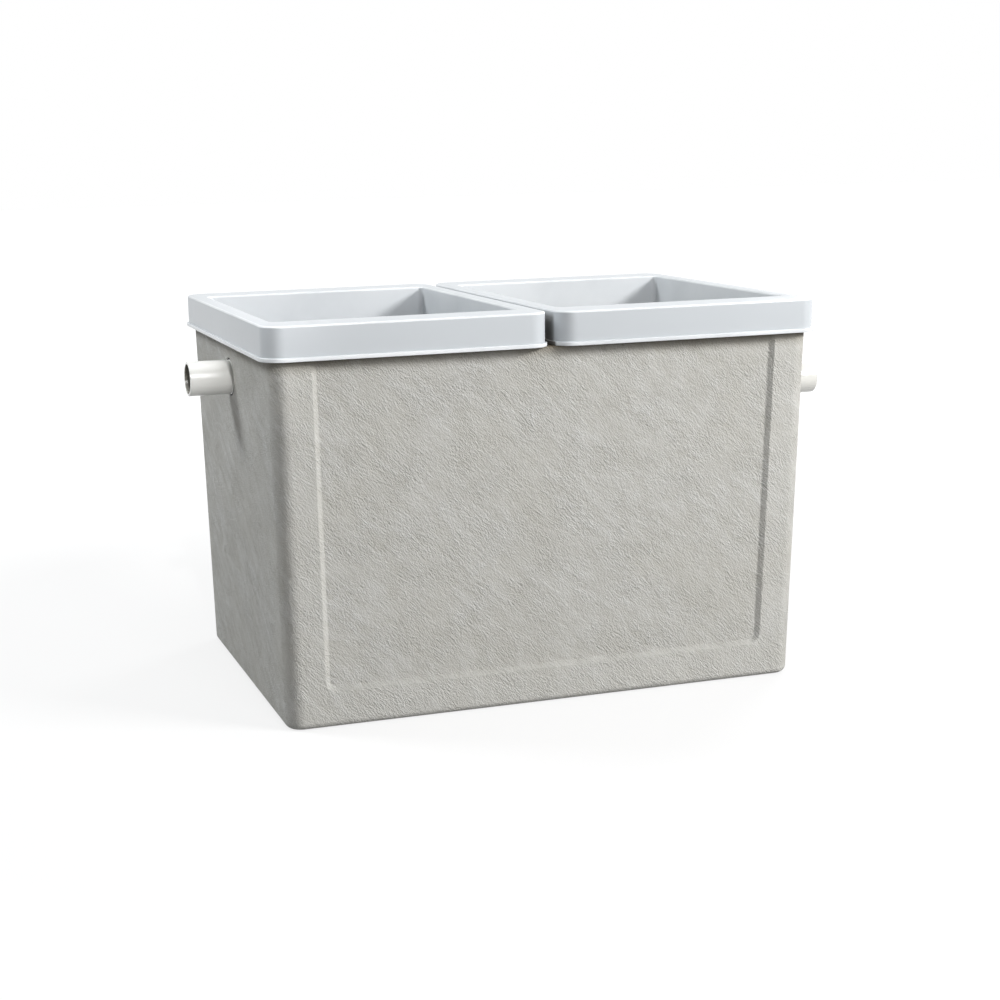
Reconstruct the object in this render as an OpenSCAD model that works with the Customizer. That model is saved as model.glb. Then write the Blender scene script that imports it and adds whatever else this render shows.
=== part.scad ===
// Grease trap: a moulded tank under a deck with two open collars,
// with the strainer, baffles and pipework that separate the grease inside it.
// X runs from inlet to outlet, the back is +Y, and the tank stands on z = 0.

/* [Tank] */
// Outside length of the tank at its rim
tank_l = 792; // [680:1:900]
// Outside width of the tank at its rim
tank_w = 535; // [500:1:640]
// Height of the rim above the ground
tank_h = 505; // [490:1:600]
// Inward lean of each wall from rim to ground
tank_draft = 10; // [4:1:18]
// Thickness of the moulded wall
tank_wall = 6; // [4:0.5:8]
// Radius of the upright corners
tank_corner_r = 24; // [24:1:36]
// Radius of the edge round the base
base_edge_r = 10; // [10:1:23]

/* [Recessed panels] */
// Distance from the end of the wall to the middle of the panel's sloping edge
panel_margin = 59; // [45:1:80]
// Height of the panel's lower edge
panel_base = 55; // [40:1:90]
// How far the panel lies behind the wall
panel_depth = 5; // [2:0.5:8]
// Width of the panel's sloping edge
panel_slope = 7; // [3:0.5:10]
// Radius of the panel's lower corners
panel_corner_r = 12; // [8:1:20]

/* [Deck] */
// Thickness of the deck bonded to the rim
deck_t = 6; // [4:0.5:8]
// Thickness of the sealing strip between deck and collar
gasket_t = 2; // [1:0.5:4]
// Width of the sealing strip
gasket_w = 9; // [6:0.5:10]

/* [Collars] */
// How far a collar reaches past the tank's wall
collar_overhang = 9; // [8:0.5:14]
// Height of a collar from lip to rim
collar_h = 46; // [36:1:60]
// Wall thickness of a collar
collar_t = 4; // [3:0.5:5]
// Gap between the two collars
collar_gap = 12; // [8:1:20]
// Space between the sealing strip and the collar's neck at its ends
neck_gap = 1; // [1:0.5:20]
// Width of the collar's rim at front and back
front_rim = 62; // [40:1:80]
// Depth of the neck that passes through the deck
neck_depth = 60; // [56:1:66]
// Radius of the collar's outside corners
collar_corner_r = 28; // [26:1:40]
// Radius of the opening's corners
opening_r = 9; // [5:1:20]
// Radius of the collar's top edges
collar_edge_r = 3; // [1.5:0.5:3.5]
// How far the lip stands out from the collar
lip_w = 3; // [2.5:0.5:6]
// Thickness of the lip
lip_t = 4; // [3:0.5:5]

/* [Pipes] */
// Outside diameter of the drain pipe
pipe_d = 50; // [40:1:54]
// Wall thickness of the drain pipe
pipe_wall = 3.7; // [2:0.1:5]
// How far the inlet pipe's axis lies below the rim
inlet_drop = 44; // [43:1:80]
// How far the outlet lies below the inlet
outlet_drop = 56; // [30:1:90]
// Length of the inlet stub outside the wall
inlet_stub = 62; // [40:1:150]
// Length of the outlet stub outside the wall
outlet_stub = 160; // [40:1:220]
// Distance from the wall to where a stub has its full size
stub_root = 2.5; // [2:0.5:5]
// Depth of the groove round a pipe where it leaves the wall
groove_d = 1.2; // [1:0.1:1.6]
// Thickness of the rubber bush round a pipe
seal_t = 2.5; // [1.5:0.5:4]
// Width of the bush's inner flange
seal_flange_w = 6; // [4:1:10]
// Thickness of the bush's inner flange
seal_flange_t = 4; // [2:0.5:6]

/* [Fittings] */
// Wall thickness of the fittings
fitting_wall = 4; // [3:0.5:5]
// Depth of a fitting's socket
socket_depth = 22; // [15:1:30]
// Bend radius of the inlet elbow at its middle line
bend_r = 38; // [34:1:50]
// Space between a bush and the fitting behind it
fitting_gap = 12; // [5:1:20]
// Length of the drop pipe below the inlet elbow
drop_l = 70; // [40:1:110]
// Height of the dip pipe's lower end above the ground
dip_end_z = 130; // [90:1:180]
// Height of the clip that holds the dip pipe
clip_z = 240; // [200:1:300]
// Height of the clip's band
clip_h = 18; // [12:1:30]
// Thickness of the clip's arm
clip_arm_t = 12; // [8:1:20]
// Width of the clip's foot on the wall
clip_foot_w = 50; // [30:1:80]

/* [Baffles] */
// Thickness of the baffle and weir plates
plate_t = 6; // [4:0.5:10]
// Place of the grease baffle along the tank
baffle_x = 0; // [-10:1:10]
// Height of the grease baffle's lower edge above the ground
baffle_z = 90; // [60:1:140]
// Place of the sludge weir along the tank
weir_x = 150; // [100:1:200]
// Height of the sludge weir above the ground
weir_top = 230; // [150:1:300]
// Width of a guide channel
guide_w = 26; // [20:1:36]
// Depth of a guide channel
guide_d = 18; // [14:1:26]
// Depth of the slot in a guide channel
guide_slot = 12; // [8:1:13]

/* [Strainer] */
// Length of the strainer basket
basket_l = 230; // [180:1:260]
// Width of the strainer basket
basket_w = 380; // [300:1:390]
// Depth of the strainer basket
basket_h = 170; // [120:1:200]
// Wall thickness of the strainer basket
basket_wall = 3; // [2:0.5:4]
// Radius of the basket's corners
basket_r = 16; // [8:1:30]
// Width of the hanging flange at front and back
flange_w = 20; // [14:1:26]
// Width of the stiffening flange at the ends
end_flange_w = 8; // [4:1:14]
// Thickness of the basket's flange
flange_t = 4; // [3:0.5:6]
// Space between the basket and the inlet elbow
basket_gap = 7; // [4:1:14]
// Width of the drain slots
slot_w = 7; // [4:1:10]
// Spacing of the drain slots
slot_pitch = 26; // [18:1:40]
// Height of the drain slots in the walls
slot_h = 90; // [50:1:100]
// Diameter of the handle's wire
wire_d = 6; // [4:0.5:8]
// Thickness of the bosses that the handle turns in
boss_t = 4; // [2:0.5:6]
// Width of the wall round a boss's hole
boss_wall = 6; // [4:0.5:8]
// Length of the ledges that carry the basket
ledge_length = 180; // [120:1:220]
// Height of a ledge's upright leg
ledge_h = 40; // [25:1:60]
// Thickness of a ledge
ledge_t = 4; // [3:0.5:6]

/* [Hidden] */

$fn = 96;
// Facets of the rounded shapes that blend the tank's walls
blend_fn = 32;
// Thickness of the slices that span a blended shape
slice = 0.01;
// How far a cut runs past the face it opens
cut = 1;
// Gap between pieces that are seated on each other
seat = 0.1;
// Gap between a sliding plate and its guide
slide = 0.3;
// Running clearance of the handle's pivots
pivot_clear = 0.05;
// Clearance of the collar's neck in the deck
neck_clear = 0.8;
// Distance from the wall's outer face to the sealing strip and the collar's bearing web
strip_inset = 1;
// Distance from the bearing web to the sealing strip's outer edge
web_inset = 3;

tank_lean = atan(tank_draft / tank_h);
// Half length and half width of the tank's outside at a height
function half_l(z) = tank_l / 2 - tank_draft * (1 - z / tank_h);
function half_w(z) = tank_w / 2 - tank_draft * (1 - z / tank_h);
// Half width between the recessed panels' inner faces at a height
panel_inner = tank_wall + panel_depth;
function panel_half_w(z) = half_w(z) - panel_inner / cos(tank_lean);

deck_z = tank_h;
strip_z = deck_z + deck_t;
collar_z = strip_z + gasket_t;
collar_l = (tank_l + 2 * collar_overhang - collar_gap) / 2;
collar_w = tank_w + 2 * collar_overhang;
collar_x = (collar_l + collar_gap) / 2;
// Width of the collar's rim at its ends
side_rim = collar_overhang + strip_inset + gasket_w + neck_gap + collar_t;
opening_l = collar_l - 2 * side_rim;
opening_w = collar_w - 2 * front_rim;
// Corner radius of an outline that lies inside the collar's own
function inset_r(inset) = max(collar_corner_r - inset, 1);

pipe_r = pipe_d / 2;
pipe_ir = pipe_r - pipe_wall;
hole_r = pipe_r + seal_t;
fit_r = pipe_r + fitting_wall;
inlet_z = tank_h - inlet_drop;
outlet_z = inlet_z - outlet_drop;
// Room for the wall's lean behind a bush's flange
lean_gap = seat + (hole_r + seal_flange_w) * tan(tank_lean);
// Distance from the middle to the inner face of a bush, and to the shoulder of the fitting behind it
function seal_in(z) = half_l(z) - tank_wall - lean_gap - seal_flange_t;
function shoulder(z) = seal_in(z) - fitting_gap - socket_depth;
elbow_x = -shoulder(inlet_z) + bend_r;
drop_top_z = inlet_z - bend_r;
tee_x = shoulder(outlet_z) - fit_r;
tee_half = fit_r + socket_depth;

basket_x0 = elbow_x - fit_r - basket_gap - basket_wall;
basket_x = basket_x0 + basket_l / 2;
basket_rim_z = inlet_z - fit_r - basket_gap;
boss_r = wire_d / 2 + boss_wall;
pivot_z = basket_rim_z - flange_t - boss_r - cut;
arm_y = basket_w / 2 - basket_wall - wire_d;
handle_reach = basket_l / 2 - basket_wall - basket_r;
ledge_z = basket_rim_z - flange_t;
ledge_y = basket_w / 2 + boss_t + wire_d / 2;

laminate = [0.74, 0.73, 0.69];
collar_grey = [0.84, 0.86, 0.89];
pipe_white = [0.93, 0.92, 0.89];
fitting_grey = [0.55, 0.57, 0.58];
sheet_grey = [0.78, 0.79, 0.78];
rubber_black = [0.12, 0.12, 0.12];
basket_blue = [0.55, 0.63, 0.70];
steel = [0.75, 0.76, 0.78];

// Outline with round corners, centred on the origin
module rounded_rect(l, w, r) {
    square([l - 2 * r, w], center = true);
    square([l, w - 2 * r], center = true);
    for (sx = [-1, 1], sy = [-1, 1])
        translate([sx * (l / 2 - r), sy * (w / 2 - r)]) circle(r);
}

// A profile carried round a rounded outline; its x points outwards and its y upwards
module swept_frame(l, w, r) {
    for (k = [0:3]) {
        run = k % 2 == 0 ? l : w;
        across = k % 2 == 0 ? w : l;
        rotate(90 * k) {
            translate([-(run / 2 - r), -across / 2, 0])
                rotate([90, 0, 90]) linear_extrude(run - 2 * r) mirror([1, 0]) children();
            translate([run / 2 - r, -(across / 2 - r), 0])
                rotate(-90) rotate_extrude(angle = 90) translate([r, 0]) children();
        }
    }
}

// A shape and its mirror image on the back wall
module front_and_back() {
    children();
    mirror([0, 1, 0]) children();
}

// Places a shape on the front wall: z runs up the wall and y points into the tank
module on_front_wall() {
    translate([0, -half_w(0), 0]) rotate([tank_lean, 0, 0]) children();
}

// Closed form of the tank with leaning walls and round edges, moved in by an inset
module tank_form(inset, top_z) {
    r = tank_corner_r - inset;
    edge_r = base_edge_r - inset;
    turn_z = inset + edge_r;
    hull() for (sx = [-1, 1], sy = [-1, 1]) {
        translate([sx * (half_l(top_z) - tank_corner_r), sy * (half_w(top_z) - tank_corner_r), top_z - slice])
            cylinder(r = r, h = slice, $fn = blend_fn);
        translate([sx * (half_l(turn_z) - tank_corner_r), sy * (half_w(turn_z) - tank_corner_r), turn_z])
            rotate_extrude($fn = blend_fn) intersection() {
                translate([r - edge_r, 0]) circle(edge_r, $fn = blend_fn);
                translate([0, -edge_r]) square([r, 2 * edge_r]);
            }
    }
}

// Sloping-edged slab on a wall, from just outside it to a depth; grow widens its outline
module panel_form(face, grow) {
    top_z = tank_h + 2 * panel_corner_r + 2 * panel_slope;
    hull() for (step = [-1, 1]) {
        r = panel_corner_r + grow + panel_slope * (0.5 - step);
        for (sx = [-1, 1], z = [panel_base + panel_corner_r, top_z])
            translate([sx * (half_l(z) - panel_margin - panel_corner_r), face + step * panel_depth, z])
                rotate([90 * step, 0, 0]) cylinder(r = r, h = slice, $fn = blend_fn);
    }
}

module tank_body() {
    color(laminate) difference() {
        tank_form(0, tank_h);
        difference() {
            tank_form(tank_wall, tank_h + cut);
            front_and_back() on_front_wall() panel_form(tank_wall, tank_wall / 2);
        }
        front_and_back() on_front_wall() panel_form(0, 0);
        pipe_hole(-1, inlet_z);
        pipe_hole(1, outlet_z);
    }
}

// Round hole through an end wall for a pipe and its bush
module pipe_hole(side, z) {
    translate([side * (half_l(z) - tank_wall / 2), 0, z]) rotate([0, 90, 0])
        cylinder(r = hole_r, h = 3 * tank_wall, center = true);
}

module deck_plate() {
    clear = collar_t + neck_clear;
    color(laminate) translate([0, 0, deck_z]) linear_extrude(deck_t) difference() {
        rounded_rect(tank_l, tank_w, tank_corner_r);
        for (side = [-1, 1])
            translate([side * collar_x, 0])
                rounded_rect(opening_l + 2 * clear, opening_w + 2 * clear, opening_r + clear);
    }
}

// Outer skirt of a collar with its lip and rounded top edge
module skirt_profile() {
    nose = lip_t / 2;
    translate([-collar_t, 0]) square([collar_t, collar_h - collar_edge_r]);
    translate([-collar_t, 0]) square([collar_t + lip_w - nose, lip_t]);
    translate([lip_w - nose, nose]) circle(nose);
    translate([-collar_edge_r, collar_h - collar_edge_r]) circle(collar_edge_r);
    translate([-2 * collar_t, collar_h - collar_t]) square([2 * collar_t - collar_edge_r, collar_t]);
}

// Neck of a collar with its rounded top edge
module neck_profile() {
    translate([0, collar_h - neck_depth]) square([collar_t, neck_depth - collar_edge_r]);
    translate([collar_edge_r, collar_h - collar_edge_r]) circle(collar_edge_r);
    translate([collar_edge_r, collar_h - collar_t]) square([2 * collar_t - collar_edge_r, collar_t]);
}

module collar() {
    web_at = collar_overhang + strip_inset + web_inset;
    translate([0, 0, collar_z]) {
        swept_frame(collar_l, collar_w, collar_corner_r) skirt_profile();
        swept_frame(opening_l, opening_w, opening_r) neck_profile();
        translate([0, 0, collar_h - collar_t]) linear_extrude(collar_t) difference() {
            rounded_rect(collar_l - 2 * collar_t, collar_w - 2 * collar_t, inset_r(collar_t));
            rounded_rect(opening_l + 2 * collar_t, opening_w + 2 * collar_t, opening_r + collar_t);
        }
        linear_extrude(collar_h - collar_t / 2) difference() {
            rounded_rect(collar_l - 2 * web_at, collar_w - 2 * web_at, inset_r(web_at));
            rounded_rect(collar_l - 2 * web_at - 2 * collar_t, collar_w - 2 * web_at - 2 * collar_t,
                         inset_r(web_at + collar_t));
        }
    }
}

module inlet_collar() {
    color(collar_grey) translate([-collar_x, 0, 0]) collar();
}

module outlet_collar() {
    color(collar_grey) translate([collar_x, 0, 0]) collar();
}

module collar_gasket() {
    strip_at = collar_overhang + strip_inset;
    inner_at = strip_at + gasket_w;
    color(rubber_black) translate([0, 0, strip_z]) linear_extrude(gasket_t) difference() {
        rounded_rect(collar_l - 2 * strip_at, collar_w - 2 * strip_at, inset_r(strip_at));
        rounded_rect(collar_l - 2 * inner_at, collar_w - 2 * inner_at, inset_r(inner_at));
    }
}

module inlet_collar_gasket() {
    translate([-collar_x, 0, 0]) collar_gasket();
}

module outlet_collar_gasket() {
    translate([collar_x, 0, 0]) collar_gasket();
}

// Pipe through an end wall: eased in bush and fitting, grooved at the wall, full size on the stub outside
module wall_pipe(z, stub) {
    x0 = shoulder(z) + seat;
    groove_x = half_l(z) - lean_gap;
    stub_x = half_l(z) + stub_root;
    end_x = half_l(z) + stub;
    color(pipe_white) translate([0, 0, z]) rotate([0, 90, 0]) difference() {
        union() {
            translate([0, 0, x0]) cylinder(r = pipe_r - seat, h = groove_x - x0);
            translate([0, 0, groove_x - cut]) cylinder(r = pipe_r - groove_d, h = stub_x - groove_x + 2 * cut);
            translate([0, 0, stub_x]) cylinder(r = pipe_r, h = end_x - stub_x);
        }
        translate([0, 0, x0 - cut]) cylinder(r = pipe_ir, h = end_x - x0 + 2 * cut);
    }
}

// Upright pipe between two heights, eased to enter its fitting
module pipe_upright(x, z0, z1) {
    color(pipe_white) translate([x, 0, z0]) difference() {
        cylinder(r = pipe_r - seat, h = z1 - z0);
        translate([0, 0, -cut]) cylinder(r = pipe_ir, h = z1 - z0 + 2 * cut);
    }
}

module inlet_pipe() {
    mirror([1, 0, 0]) wall_pipe(inlet_z, inlet_stub);
}

module outlet_pipe() {
    wall_pipe(outlet_z, outlet_stub);
}

// Rubber bush in an end wall, with a flange on the inside
module pipe_seal(z) {
    bush_l = half_l(z) - lean_gap - seal_in(z);
    color(rubber_black) translate([seal_in(z), 0, z]) rotate([0, 90, 0]) difference() {
        union() {
            cylinder(r = hole_r - seat, h = bush_l);
            cylinder(r = hole_r + seal_flange_w, h = seal_flange_t);
        }
        translate([0, 0, -cut]) cylinder(r = pipe_r, h = bush_l + 2 * cut);
    }
}

module inlet_pipe_seal() {
    mirror([1, 0, 0]) pipe_seal(inlet_z);
}

module outlet_pipe_seal() {
    pipe_seal(outlet_z);
}

// Tube that takes a pipe's end, standing on a fitting's shoulder
module socket() {
    difference() {
        cylinder(r = fit_r, h = socket_depth);
        translate([0, 0, -cut]) cylinder(r = pipe_r, h = socket_depth + 2 * cut);
    }
}

module inlet_elbow() {
    color(fitting_grey) {
        translate([-shoulder(inlet_z), 0, drop_top_z]) rotate([90, 0, 0])
            rotate_extrude(angle = 90) translate([bend_r, 0]) difference() {
                circle(fit_r);
                circle(pipe_ir);
            }
        translate([-shoulder(inlet_z), 0, inlet_z]) rotate([0, -90, 0]) socket();
        translate([elbow_x, 0, drop_top_z]) rotate([180, 0, 0]) socket();
    }
}

module inlet_drop_pipe() {
    pipe_upright(elbow_x, drop_top_z - drop_l, drop_top_z - seat);
}

// Bore of a socket in a tee, from its shoulder outwards
module socket_bore() {
    cylinder(r = pipe_r, h = socket_depth + cut);
}

module outlet_tee() {
    color(fitting_grey) translate([tee_x, 0, outlet_z]) difference() {
        union() {
            cylinder(r = fit_r, h = 2 * tee_half, center = true);
            rotate([0, 90, 0]) cylinder(r = fit_r, h = tee_half);
        }
        cylinder(r = pipe_ir, h = 2 * tee_half, center = true);
        rotate([0, 90, 0]) cylinder(r = pipe_ir, h = tee_half);
        translate([fit_r, 0, 0]) rotate([0, 90, 0]) socket_bore();
        translate([0, 0, fit_r]) socket_bore();
        translate([0, 0, -fit_r]) rotate([180, 0, 0]) socket_bore();
    }
}

module outlet_dip_pipe() {
    pipe_upright(tee_x, dip_end_z, outlet_z - fit_r - seat);
}

// Band round the dip pipe on an arm and a foot against the outlet wall
module dip_pipe_clip() {
    z0 = clip_z - clip_h / 2;
    z1 = clip_z + clip_h / 2;
    face0 = half_l(z0) - tank_wall - seat;
    face1 = half_l(z1) - tank_wall - seat;
    arm_x = tee_x + pipe_r + fitting_wall / 2;
    color(fitting_grey) difference() {
        union() {
            translate([tee_x, 0, z0]) cylinder(r = fit_r, h = clip_h);
            translate([0, clip_arm_t / 2, 0]) rotate([90, 0, 0]) linear_extrude(clip_arm_t)
                polygon([[arm_x, z0], [face0, z0], [face1, z1], [arm_x, z1]]);
            translate([0, clip_foot_w / 2, 0]) rotate([90, 0, 0]) linear_extrude(clip_foot_w)
                polygon([[face0 - fitting_wall, z0], [face0, z0], [face1, z1], [face1 - fitting_wall, z1]]);
        }
        translate([tee_x, 0, z0 - cut]) cylinder(r = pipe_r, h = clip_h + 2 * cut);
    }
}

// Upright plate across the tank whose sides follow the panels into the guides
module cross_plate(x, outline) {
    color(sheet_grey) translate([x - plate_t / 2, 0, 0]) rotate([90, 0, 90]) linear_extrude(plate_t)
        polygon(outline);
}

// Half width of a plate that reaches into the guides at a height
function plate_half_w(z) = panel_half_w(z) - (guide_d - guide_slot) - seat - slide;

module grease_baffle() {
    top_z = deck_z - seat;
    low = plate_half_w(baffle_z);
    high = plate_half_w(top_z);
    cross_plate(baffle_x, [[-low, baffle_z], [low, baffle_z], [high, top_z], [-high, top_z]]);
}

module sludge_weir() {
    base_z = tank_wall + seat;
    foot_z = base_edge_r + tank_wall;
    foot = plate_half_w(base_z) - base_edge_r;
    low = plate_half_w(foot_z);
    high = plate_half_w(weir_top);
    cross_plate(weir_x, [[-foot, base_z], [foot, base_z], [low, foot_z], [high, weir_top],
                         [-high, weir_top], [-low, foot_z]]);
}

// Channel up the front wall that holds the side of a plate
module wall_guide(x, z0, z1) {
    color(sheet_grey) intersection() {
        on_front_wall() translate([x, panel_inner + seat, z0]) linear_extrude(z1 - z0 + guide_d) difference() {
            translate([-guide_w / 2, 0]) square([guide_w, guide_d]);
            translate([-plate_t / 2 - slide, guide_d - guide_slot]) square([plate_t + 2 * slide, guide_d]);
        }
        translate([x - guide_w, -tank_w, 0]) cube([2 * guide_w, tank_w, z1]);
    }
}

module baffle_front_guide() {
    wall_guide(baffle_x, baffle_z, deck_z - seat);
}

module baffle_back_guide() {
    mirror([0, 1, 0]) baffle_front_guide();
}

module weir_front_guide() {
    wall_guide(weir_x, panel_base, weir_top);
}

module weir_back_guide() {
    mirror([0, 1, 0]) weir_front_guide();
}

// Angle bonded to the front wall that carries one side of the basket
module basket_front_ledge() {
    z1 = ledge_z - seat;
    z0 = z1 - ledge_h;
    wall1 = panel_half_w(z1) - seat;
    wall0 = panel_half_w(z0) - seat;
    color(sheet_grey) translate([basket_x - ledge_length / 2, 0, 0]) rotate([90, 0, 90]) linear_extrude(ledge_length)
        polygon([[-wall1, z1], [-ledge_y, z1], [-ledge_y, z1 - ledge_t],
                 [-wall1 + ledge_t, z1 - ledge_t], [-wall0 + ledge_t, z0], [-wall0, z0]]);
}

module basket_back_ledge() {
    mirror([0, 1, 0]) basket_front_ledge();
}

// Evenly spaced places along a length
function row(length, pitch) =
    let (n = max(floor(length / pitch), 1)) [for (i = [0:n]) (i - n / 2) * pitch];

module strainer_basket() {
    inner_l = basket_l - 2 * basket_wall;
    inner_w = basket_w - 2 * basket_wall;
    slot_z = -basket_h / 2;
    floor_slot_l = (inner_l - 4 * basket_r) / 2;
    color(basket_blue) translate([basket_x, 0, basket_rim_z]) difference() {
        union() {
            translate([0, 0, -basket_h]) linear_extrude(basket_h) rounded_rect(basket_l, basket_w, basket_r);
            translate([0, 0, -flange_t]) linear_extrude(flange_t)
                rounded_rect(basket_l + 2 * end_flange_w, basket_w + 2 * flange_w, basket_r);
            translate([0, 0, pivot_z - basket_rim_z]) rotate([90, 0, 0])
                cylinder(r = boss_r, h = basket_w + 2 * boss_t, center = true);
        }
        translate([0, 0, basket_wall - basket_h]) linear_extrude(basket_h)
            rounded_rect(inner_l, inner_w, basket_r - basket_wall);
        translate([0, 0, pivot_z - basket_rim_z]) rotate([90, 0, 0])
            cylinder(r = wire_d / 2 + pivot_clear, h = basket_w + 4 * boss_t, center = true);
        for (x = row(inner_l - 4 * basket_r, slot_pitch))
            translate([x, 0, slot_z]) cube([slot_w, basket_w + 2 * cut, slot_h], center = true);
        for (y = row(inner_w - 4 * basket_r, slot_pitch)) {
            translate([0, y, slot_z]) cube([basket_l + 2 * cut, slot_w, slot_h], center = true);
            for (side = [-1, 1])
                translate([side * (floor_slot_l / 2 + basket_r), y, -basket_h])
                    cube([floor_slot_l, slot_w, 4 * basket_wall], center = true);
        }
    }
}

// Wire bail folded down inside the rim, with its ends turned out into the basket's walls
module basket_handle() {
    r = wire_d / 2;
    pin_end = basket_w / 2 + boss_t + cut;
    color(steel) translate([basket_x, 0, pivot_z]) {
        for (side = [-1, 1]) {
            translate([0, side * (pin_end + arm_y) / 2, 0]) rotate([90, 0, 0])
                cylinder(r = r, h = pin_end - arm_y, center = true);
            translate([0, side * arm_y, 0]) rotate([0, 90, 0]) cylinder(r = r, h = handle_reach);
            translate([0, side * arm_y, 0]) sphere(r);
            translate([handle_reach, side * arm_y, 0]) sphere(r);
        }
        translate([handle_reach, 0, 0]) rotate([90, 0, 0]) cylinder(r = r, h = 2 * arm_y, center = true);
    }
}

tank_body();
deck_plate();
inlet_collar();
outlet_collar();
inlet_collar_gasket();
outlet_collar_gasket();
inlet_pipe();
inlet_pipe_seal();
inlet_elbow();
inlet_drop_pipe();
outlet_pipe();
outlet_pipe_seal();
outlet_tee();
outlet_dip_pipe();
dip_pipe_clip();
grease_baffle();
baffle_front_guide();
baffle_back_guide();
sludge_weir();
weir_front_guide();
weir_back_guide();
basket_front_ledge();
basket_back_ledge();
strainer_basket();
basket_handle();
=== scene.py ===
"""Dresses the packed grease trap: moulded tank, collars, pipe stubs, bail handle, finishes and stage."""

import math
from collections import namedtuple

import bmesh
import bpy
from mathutils import Matrix, Vector


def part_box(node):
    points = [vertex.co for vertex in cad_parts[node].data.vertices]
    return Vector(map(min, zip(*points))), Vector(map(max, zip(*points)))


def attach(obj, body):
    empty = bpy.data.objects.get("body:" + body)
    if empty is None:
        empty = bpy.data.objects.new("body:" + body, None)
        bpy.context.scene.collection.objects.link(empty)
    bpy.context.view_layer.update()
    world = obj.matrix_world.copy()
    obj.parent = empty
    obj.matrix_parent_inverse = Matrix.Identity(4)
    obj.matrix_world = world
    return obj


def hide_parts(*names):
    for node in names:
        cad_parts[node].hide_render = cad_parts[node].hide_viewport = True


bl_info = {
    "name": "Grease Trap",
    "version": (1, 0, 0),
    "blender": (4, 5, 0),
    "location": "View3D > Sidebar > Grease Trap",
    "description": "Models a moulded grease trap with open collars around its packed solids",
    "category": "Object",
}

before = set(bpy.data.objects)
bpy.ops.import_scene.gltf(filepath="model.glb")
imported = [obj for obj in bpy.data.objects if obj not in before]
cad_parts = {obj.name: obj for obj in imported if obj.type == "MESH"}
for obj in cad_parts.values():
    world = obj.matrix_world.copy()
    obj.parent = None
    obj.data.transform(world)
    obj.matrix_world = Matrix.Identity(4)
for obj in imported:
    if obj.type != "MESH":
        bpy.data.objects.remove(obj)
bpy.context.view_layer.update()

MM = 0.001
# Loops in one plane are drawn this far apart, so that a bridge between them has a direction
SKEW = 0.02 * MM
# Points nearer than this are taken as one
TOUCH = 0.001 * MM
# Steps round corners, bends, wall holes and pipes, and the angle below which faces shade as one
CORNER_STEPS = 10
BEND_STEPS = 8
HOLE_STEPS = 96
PIPE_STEPS = 72
SMOOTH_ANGLE = 35.0
TANK_LOW, TANK_HIGH = (Vector(corner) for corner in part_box("tank_body"))
COLLAR_LOW, COLLAR_HIGH = (Vector(corner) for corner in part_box("inlet_collar"))
INLET_LOW, INLET_HIGH = (Vector(corner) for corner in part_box("inlet_pipe"))
OUTLET_LOW, OUTLET_HIGH = (Vector(corner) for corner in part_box("outlet_pipe"))
BAIL_LOW, BAIL_HIGH = (Vector(corner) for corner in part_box("basket_handle"))

Outline = namedtuple("Outline", "x length width radius z")


# Settings

def length(name, text, default):
    return bpy.props.FloatProperty(name=name, description=text, default=default, unit="LENGTH", precision=4)


def colour(name, text, default):
    return bpy.props.FloatVectorProperty(name=name, description=text, default=default, size=3,
                                         subtype="COLOR", min=0.0, max=1.0)


def degrees(name, text, default):
    return bpy.props.FloatProperty(name=name, description=text, default=math.radians(default),
                                   subtype="ANGLE")


def number(name, text, default):
    return bpy.props.FloatProperty(name=name, description=text, default=default, min=0.0)


class TankSettings(bpy.types.PropertyGroup):
    """Sizes of the moulded tank"""
    length: length("Length", "Outside length at the rim", TANK_HIGH.x - TANK_LOW.x)
    width: length("Width", "Outside width at the rim", TANK_HIGH.y - TANK_LOW.y)
    height: length("Height", "Height of the rim", TANK_HIGH.z)
    draft: length("Draft", "Inward lean of each wall from rim to base", 10 * MM)
    wall: length("Wall", "Thickness of the wall", 6 * MM)
    corner_radius: length("Corner radius", "Radius of the upright corners", 24 * MM)
    base_edge: length("Base edge", "Radius of the edge round the base", 10 * MM)
    panel_margin: length("Panel margin", "Distance from the wall's end to the panel's edge", 59 * MM)
    panel_base: length("Panel base", "Height of the panel's lower edge", 55 * MM)
    panel_depth: length("Panel depth", "How far the panel lies behind the wall", 5 * MM)
    panel_slope: length("Panel slope", "Width of the panel's sloping sides", 7 * MM)
    panel_foot: length("Panel foot", "Width of the panel's sloping lower edge", 5.5 * MM)
    panel_radius: length("Panel radius", "Radius of the panel's lower corners", 12 * MM)
    hole_radius: length("Hole radius", "Radius of the pipe holes", 27.5 * MM)
    edge_round: length("Edge rounding", "Width of the softened edges", 1.2 * MM)
    neck_gap: length("Neck gap", "Space round a collar's neck in the deck", 0.8 * MM)


class CollarSettings(bpy.types.PropertyGroup):
    """Sizes of the open collars"""
    lip: length("Lip", "How far the lip stands out", 3 * MM)
    lip_thickness: length("Lip thickness", "Thickness of the lip", 4 * MM)
    lip_round: length("Lip rounding", "Radius of the lip's edges", 0.8 * MM)
    lip_drop: length("Lip drop", "How far the lip hangs below the foot", 1.4 * MM)
    height: length("Height", "Height from lip to rim", 46 * MM)
    wall: length("Wall", "Thickness of the walls", 4 * MM)
    side_rim: length("Side rim", "Width of the rim at the ends", 24 * MM)
    front_rim: length("Front rim", "Width of the rim at front and back", 62 * MM)
    corner_radius: length("Corner radius", "Radius of the outside corners", 28 * MM)
    opening_radius: length("Opening radius", "Radius of the opening's corners", 9 * MM)
    edge_radius: length("Edge radius", "Radius of the top edges", 3 * MM)
    web_inset: length("Web inset", "Distance from the outside to the bearing web", 13 * MM)
    # Painted light: share of the paler colour on the opening's walls
    mouth_light: number("Mouth rub", "How far the opening's walls are rubbed pale", 0.47)


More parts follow.
